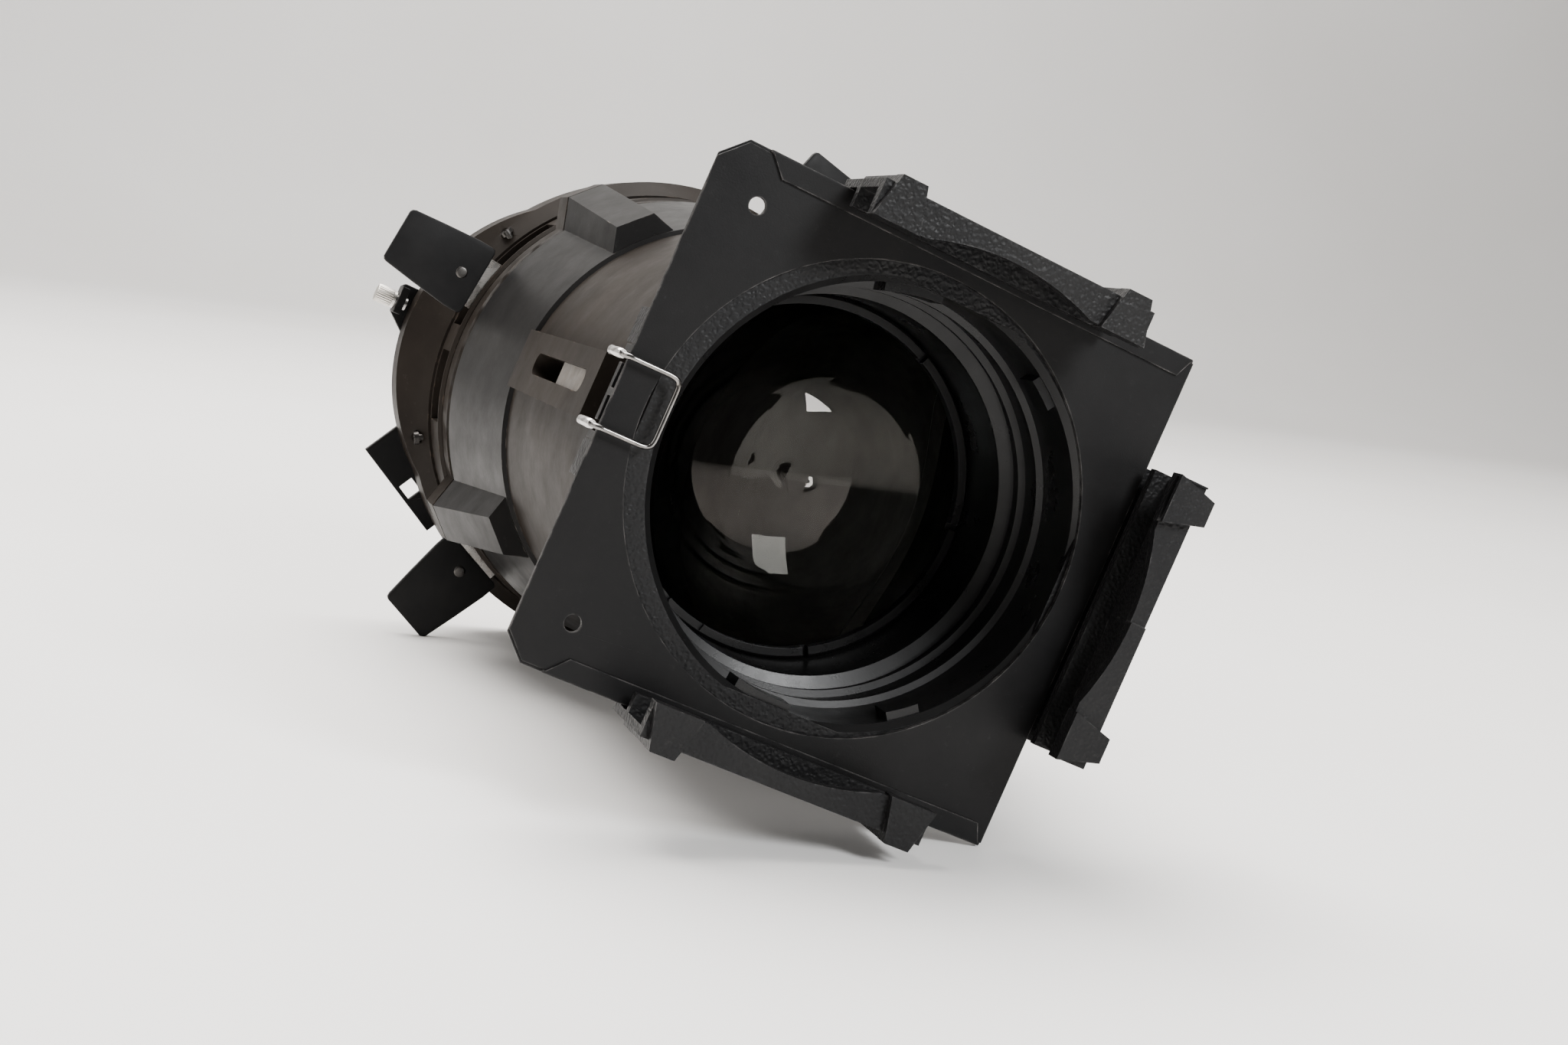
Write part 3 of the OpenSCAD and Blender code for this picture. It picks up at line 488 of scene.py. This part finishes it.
def dress_cad(materials):
    """Gives every CAD node its finish, smooth curved faces and softened edges."""
    for name, node in NODES.items():
        node.data.materials.clear()
        node.data.materials.append(materials[FINISH[name]])
        node.data.shade_smooth()
        node.data.set_sharp_from_angle(angle=math.radians(CREASE_DEG))
        if name not in SOFT_EDGES:
            continue
        weld = node.modifiers.new("weld", "WELD")
        weld.merge_threshold = WELD_GAP
        edges = node.modifiers.new("edges", "BEVEL")
        edges.width = SOFT_EDGES[name] * MM
        edges.segments = 2
        edges.limit_method = "ANGLE"
        edges.angle_limit = math.radians(BEVEL_DEG)
        flat = node.modifiers.new("normals", "WEIGHTED_NORMAL")
        flat.keep_sharp = True
        flat.weight = 90


# ---------------------------------------------------------------- faces with a paint of their own, and painted shade on the flare

# a face whose normal points this much towards the axis, or more, is an inside face
INWARD = -0.2
# radii inside which the tube, barrel and gate have their own paint
TUBE_R, BARREL_R, GATE_R = 66.6, 84.5, 86.8
# the tube's bore starts behind the front of the holder, and the flare behind the straight barrel
BORE_FROM_Y, FLARE_FROM_Y = -20, 169.5


def repaint(name, material, chosen):
    """Gives another material to the faces of a CAD node that chosen(radius, y, normal out) picks."""
    node = NODES[name]
    node.data.materials.append(material)
    index = len(node.data.materials) - 1
    back = REST.inverted()
    turn = back.to_3x3().normalized()
    for face in node.data.polygons:
        place = back @ face.center
        normal = turn @ face.normal
        radius = math.hypot(place.x, place.z)
        outward = (normal.x * place.x + normal.z * place.z) / max(radius, 1.0)
        if chosen(radius, place.y, outward):
            face.material_index = index


def paint_insides(materials):
    """Smooth black inside the tube, barrel and housing, and painted shade on the barrel's flare."""
    for name in ("lens_tube_left", "lens_tube_right"):
        repaint(name, materials["inner"], lambda r, y, out: r < TUBE_R and y > BORE_FROM_Y)
    for name in ("barrel_upper", "barrel_lower"):
        # the flare's faces get the darker copy of the casting paint: painted shade
        repaint(name, materials["flare"], lambda r, y, out: y > FLARE_FROM_Y)
        repaint(name, materials["inner"], lambda r, y, out: out < INWARD and r < BARREL_R)
    for name in ("gate_front_ring", "gate_housing"):
        repaint(name, materials["inner"], lambda r, y, out: out < INWARD and r < GATE_R)


# ---------------------------------------------------------------- detail pieces


def add_piece(name, points, faces, material, body, replaced=(), smooth_deg=40):
    """A mesh given in fixture millimetres, placed in the row and tied to a body."""
    mesh = bpy.data.meshes.new(name)
    mesh.from_pydata([REST @ Vector(p) for p in points], [], faces)
    mesh.validate()
    mesh.shade_smooth()
    mesh.set_sharp_from_angle(angle=math.radians(smooth_deg))
    mesh.materials.append(material)
    piece = bpy.data.objects.new(name, mesh)
    bpy.context.collection.objects.link(piece)
    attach(piece, body)
    if replaced:
        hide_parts(*replaced)
    return piece


def join(parts):
    """Several (points, faces) shapes as one."""
    points, faces = [], []
    for more_points, more_faces in parts:
        start = len(points)
        points += more_points
        faces += [tuple(i + start for i in face) for face in more_faces]
    return points, faces


def rounded_path(corners, radius, steps=7):
    """A path through the corners, each turned with a smooth bend."""
    path = [Vector(corners[0])]
    for before, corner, after in zip(corners, corners[1:], corners[2:]):
        before, corner, after = Vector(before), Vector(corner), Vector(after)
        cut_in = min(radius, (before - corner).length * 0.48)
        cut_out = min(radius, (after - corner).length * 0.48)
        start = corner + (before - corner).normalized() * cut_in
        end = corner + (after - corner).normalized() * cut_out
        for i in range(steps + 1):
            t = i / steps
            path.append(start * (1 - t) ** 2 + corner * 2 * t * (1 - t) + end * t ** 2)
    path.append(Vector(corners[-1]))
    return path


def swept(path, radius, sides=16):
    """A round wire along a path, with domed ends."""
    points, faces, rings = [], [], []
    side = None
    for i, place in enumerate(path):
        ahead = path[min(i + 1, len(path) - 1)]
        behind = path[max(i - 1, 0)]
        along = (ahead - behind).normalized()
        if side is None:
            side = along.orthogonal().normalized()
        side = (side - along * side.dot(along)).normalized()
        rings.append((place, side.copy(), along.cross(side), 1.0))
    first, last = rings[0], rings[-1]
    lead_in = (path[0] - path[1]).normalized() * radius * 0.5
    lead_out = (path[-1] - path[-2]).normalized() * radius * 0.5
    rings.insert(0, (first[0] + lead_in, first[1], first[2], 0.6))
    rings.append((last[0] + lead_out, last[1], last[2], 0.6))
    for place, u, v, swell in rings:
        for k in range(sides):
            a = 2 * math.pi * k / sides
            points.append(place + (u * math.cos(a) + v * math.sin(a)) * radius * swell)
    for i in range(len(rings) - 1):
        for k in range(sides):
            n = (k + 1) % sides
            faces.append((i * sides + k, i * sides + n, (i + 1) * sides + n, (i + 1) * sides + k))
    faces.append(tuple(reversed(range(sides))))
    faces.append(tuple((len(rings) - 1) * sides + k for k in range(sides)))
    return points, faces


def turned(profile, centre, axis, up, sides=48, ribs=0, depth=0.0, rib_span=(0, 0)):
    """A solid turned about an axis from (radius, height) pairs; ribs ripple part of its side."""
    axis = Vector(axis).normalized()
    u = Vector(up).cross(axis).normalized()
    v = axis.cross(u)
    centre = Vector(centre)
    points, faces = [], []
    for radius, height in profile:
        for k in range(sides):
            a = 2 * math.pi * k / sides
            ripple = 0.0
            if ribs and rib_span[0] <= height <= rib_span[1]:
                ripple = -depth * (0.5 + 0.5 * math.cos(a * ribs)) ** 3
            r = max(radius + ripple, 0.0)
            points.append(centre + axis * height + (u * math.cos(a) + v * math.sin(a)) * r)
    count = len(profile)
    for i in range(count - 1):
        for k in range(sides):
            n = (k + 1) % sides
            faces.append((i * sides + k, i * sides + n, (i + 1) * sides + n, (i + 1) * sides + k))
    faces.append(tuple(reversed(range(sides))))
    faces.append(tuple((count - 1) * sides + k for k in range(sides)))
    return points, faces


# ---------------------------------------------------------------- retaining clip

WIRE_R = 0.8
CLIP_HALF = 10.6
EYE_R = 2.45
EYE_START_DEG, EYE_STEP_DEG, EYE_STEPS = -250, 17, 20
# where the wire leaves the eye, passes over the frame's edge, and turns into the front bar
LEAVE_EYE, OVER_REAR, OVER_FRONT, DOWN_FRONT = (9.2, 81.6), (8.6, 87.8), (-3.2, 85.0), (-3.1, 69.6)
BAR_Y, BAR_Z = -3.1, 67.9
BAR_SHARE = 0.86
WIRE_BEND = 2.6
# radius and height pairs of a sleeve, and how far along the wire it starts
SLEEVE = [(0.85, 0), (1.25, 0), (1.4, 0.18), (1.4, 7.2), (1.25, 7.4), (0.85, 7.4)]
SLEEVE_START = 0.16


def clip_side(x):
    """The wire's corners on one side, from the eye over the frame's edge to the front bar."""
    return [(x, y, z) for y, z in (LEAVE_EYE, OVER_REAR, OVER_FRONT, DOWN_FRONT)]


def make_clip(materials):
    """The retaining clip: one bent wire with an eye at each end, and two bright sleeves."""
    eye = []
    for i in range(EYE_STEPS):
        a = math.radians(EYE_START_DEG + i * EYE_STEP_DEG)
        eye.append((PIN_Y + EYE_R * math.cos(a), PIN_Z + EYE_R * math.sin(a)))
    left = [(-CLIP_HALF, y, z) for y, z in eye]
    right = [(CLIP_HALF, y, z) for y, z in reversed(eye)]
    bar = [(-CLIP_HALF * BAR_SHARE, BAR_Y, BAR_Z), (CLIP_HALF * BAR_SHARE, BAR_Y, BAR_Z)]
    corners = clip_side(-CLIP_HALF) + bar + list(reversed(clip_side(CLIP_HALF)))
    middle = rounded_path(corners, WIRE_BEND)
    path = [Vector(p) for p in left] + middle + [Vector(p) for p in right]
    points, faces = swept(path, WIRE_R)
    add_piece("retaining_clip_wire", points, faces, materials["chrome"], "clip",
              ["retaining_clip"])
    parts = []
    for x in (-CLIP_HALF, CLIP_HALF):
        start, end = Vector((x, *OVER_REAR)), Vector((x, *OVER_FRONT))
        span = end - start
        parts.append(turned(SLEEVE, start + span * SLEEVE_START, span, (1, 0, 0), 32))
    points, faces = join(parts)
    add_piece("clip_sleeve_pair", points, faces, materials["bright"], "clip", ["clip_sleeves"])


# ---------------------------------------------------------------- shutter handles and rivets

RIVET_OUT = 99.0
HANDLE_HALF_T = 1.5
HANDLE_SOFT = 0.6
HANDLE_FOOT, HANDLE_TIP = 91.5, 127.5


def shutter_axes(angle):
    """The outward and the sideways direction of a shutter."""
    a = math.radians(angle)
    return Vector((-math.sin(a), 0, math.cos(a))), Vector((math.cos(a), 0, math.sin(a)))


def shrunk(outline, amount):
    """A convex outline, drawn anticlockwise, moved inwards by an amount."""
    result = []
    count = len(outline)
    for i in range(count):
        before, here, after = (Vector(outline[(i + d) % count]) for d in (-1, 0, 1))
        first = (here - before).normalized()
        second = (after - here).normalized()
        inward = Vector((-first.y, first.x)) + Vector((-second.y, second.x))
        reach = amount / max(0.3, 0.5 * inward.length_squared)
        result.append(tuple(here + inward * reach))
    return result


def rounded_slab(outline, half_t, soft, place):
    """A flat plate with rounded edges; place turns (across, through, out) into fixture points."""
    points, faces, levels = [], [], []
    for i in range(5):
        a = math.pi / 2 * i / 4
        levels.append((soft * (1 - math.sin(a)), -half_t + soft * (1 - math.cos(a))))
    levels += [(inset, -depth) for inset, depth in reversed(levels)]
    count = len(outline)
    for inset, depth in levels:
        for across, out in shrunk(outline, inset):
            points.append(place(across, depth, out))
    for i in range(len(levels) - 1):
        for k in range(count):
            n = (k + 1) % count
            faces.append((i * count + k, i * count + n, (i + 1) * count + n, (i + 1) * count + k))
    faces.append(tuple(reversed(range(count))))
    faces.append(tuple((len(levels) - 1) * count + k for k in range(count)))
    return points, faces


def handle_outline():
    """A handle's outline: widest at the foot, narrower at the tip, with rounded corners."""
    foot, tip = HANDLE_FOOT, HANDLE_TIP
    right = [(12.6, foot), (14.0, foot + 0.6), (14.4, foot + 2.0), (14.3, RIVET_OUT), (12.9, 113.0),
             (11.4, tip - 1.8), (10.9, tip - 0.6), (9.8, tip)]
    return right + [(-x, y) for x, y in reversed(right)]


def make_handles(materials):
    """Flat shutter handles with rounded edges."""
    for side, (angle, offset, y) in SHUTTERS.items():
        out, across = shutter_axes(angle)

        def place(u, through, v, out=out, across=across, offset=offset, y=y):
            return out * v + across * (u + offset) + Vector((0, y + through, 0))

        points, faces = rounded_slab(handle_outline(), HANDLE_HALF_T, HANDLE_SOFT, place)
        add_piece("handle_" + side + "_grip", points, faces, materials["plastic"],
                  "shutter_" + side, ["handle_" + side], 50)


def make_rivets(materials):
    """A domed rivet through each shutter handle."""
    t = HANDLE_HALF_T
    dome = [(1.5, 0.0), (1.5, t), (2.3, t - 0.02), (2.25, t + 0.1), (1.7, t + 0.2), (0.9, t + 0.25),
            (0.05, t + 0.26)]
    for side, (angle, offset, y) in SHUTTERS.items():
        out, across = shutter_axes(angle)
        centre = out * RIVET_OUT + across * offset + Vector((0, y, 0))
        parts = [turned(dome, centre, (0, s, 0), out, 24) for s in (-1, 1)]
        points, faces = join(parts)
        add_piece("rivet_" + side + "_domes", points, faces, materials["dark"], "shutter_" + side,
                  ["rivet_" + side], 60)


# ---------------------------------------------------------------- lock knob

KNOB_FOOT = (2.2, 300, 110.85)
KNURLS, KNURL_DEPTH, KNURL_SPAN = 24, 0.34, (1.6, 8.0)


def make_lock_knob(materials):
    """The small pale knurled knob on the rear bracket."""
    profile = [(1.2, 0.0), (3.2, 0.0), (3.45, 0.25), (3.45, 1.4), (3.7, 1.7), (3.7, 7.6), (3.35, 8.2),
               (2.4, 8.4), (0.05, 8.4)]
    sides = 4 * KNURLS
    points, faces = turned(profile, KNOB_FOOT, (0, 0, 1), (0, 1, 0), sides, KNURLS, KNURL_DEPTH, KNURL_SPAN)
    add_piece("lock_knob_knurled", points, faces, materials["bare"], "frame_lock", ["lock_knob"],
              35)


materials = make_materials()
make_camera()
make_stage()
make_light()
dress_cad(materials)
paint_insides(materials)
make_clip(materials)
make_handles(materials)
make_rivets(materials)
make_lock_knob(materials)
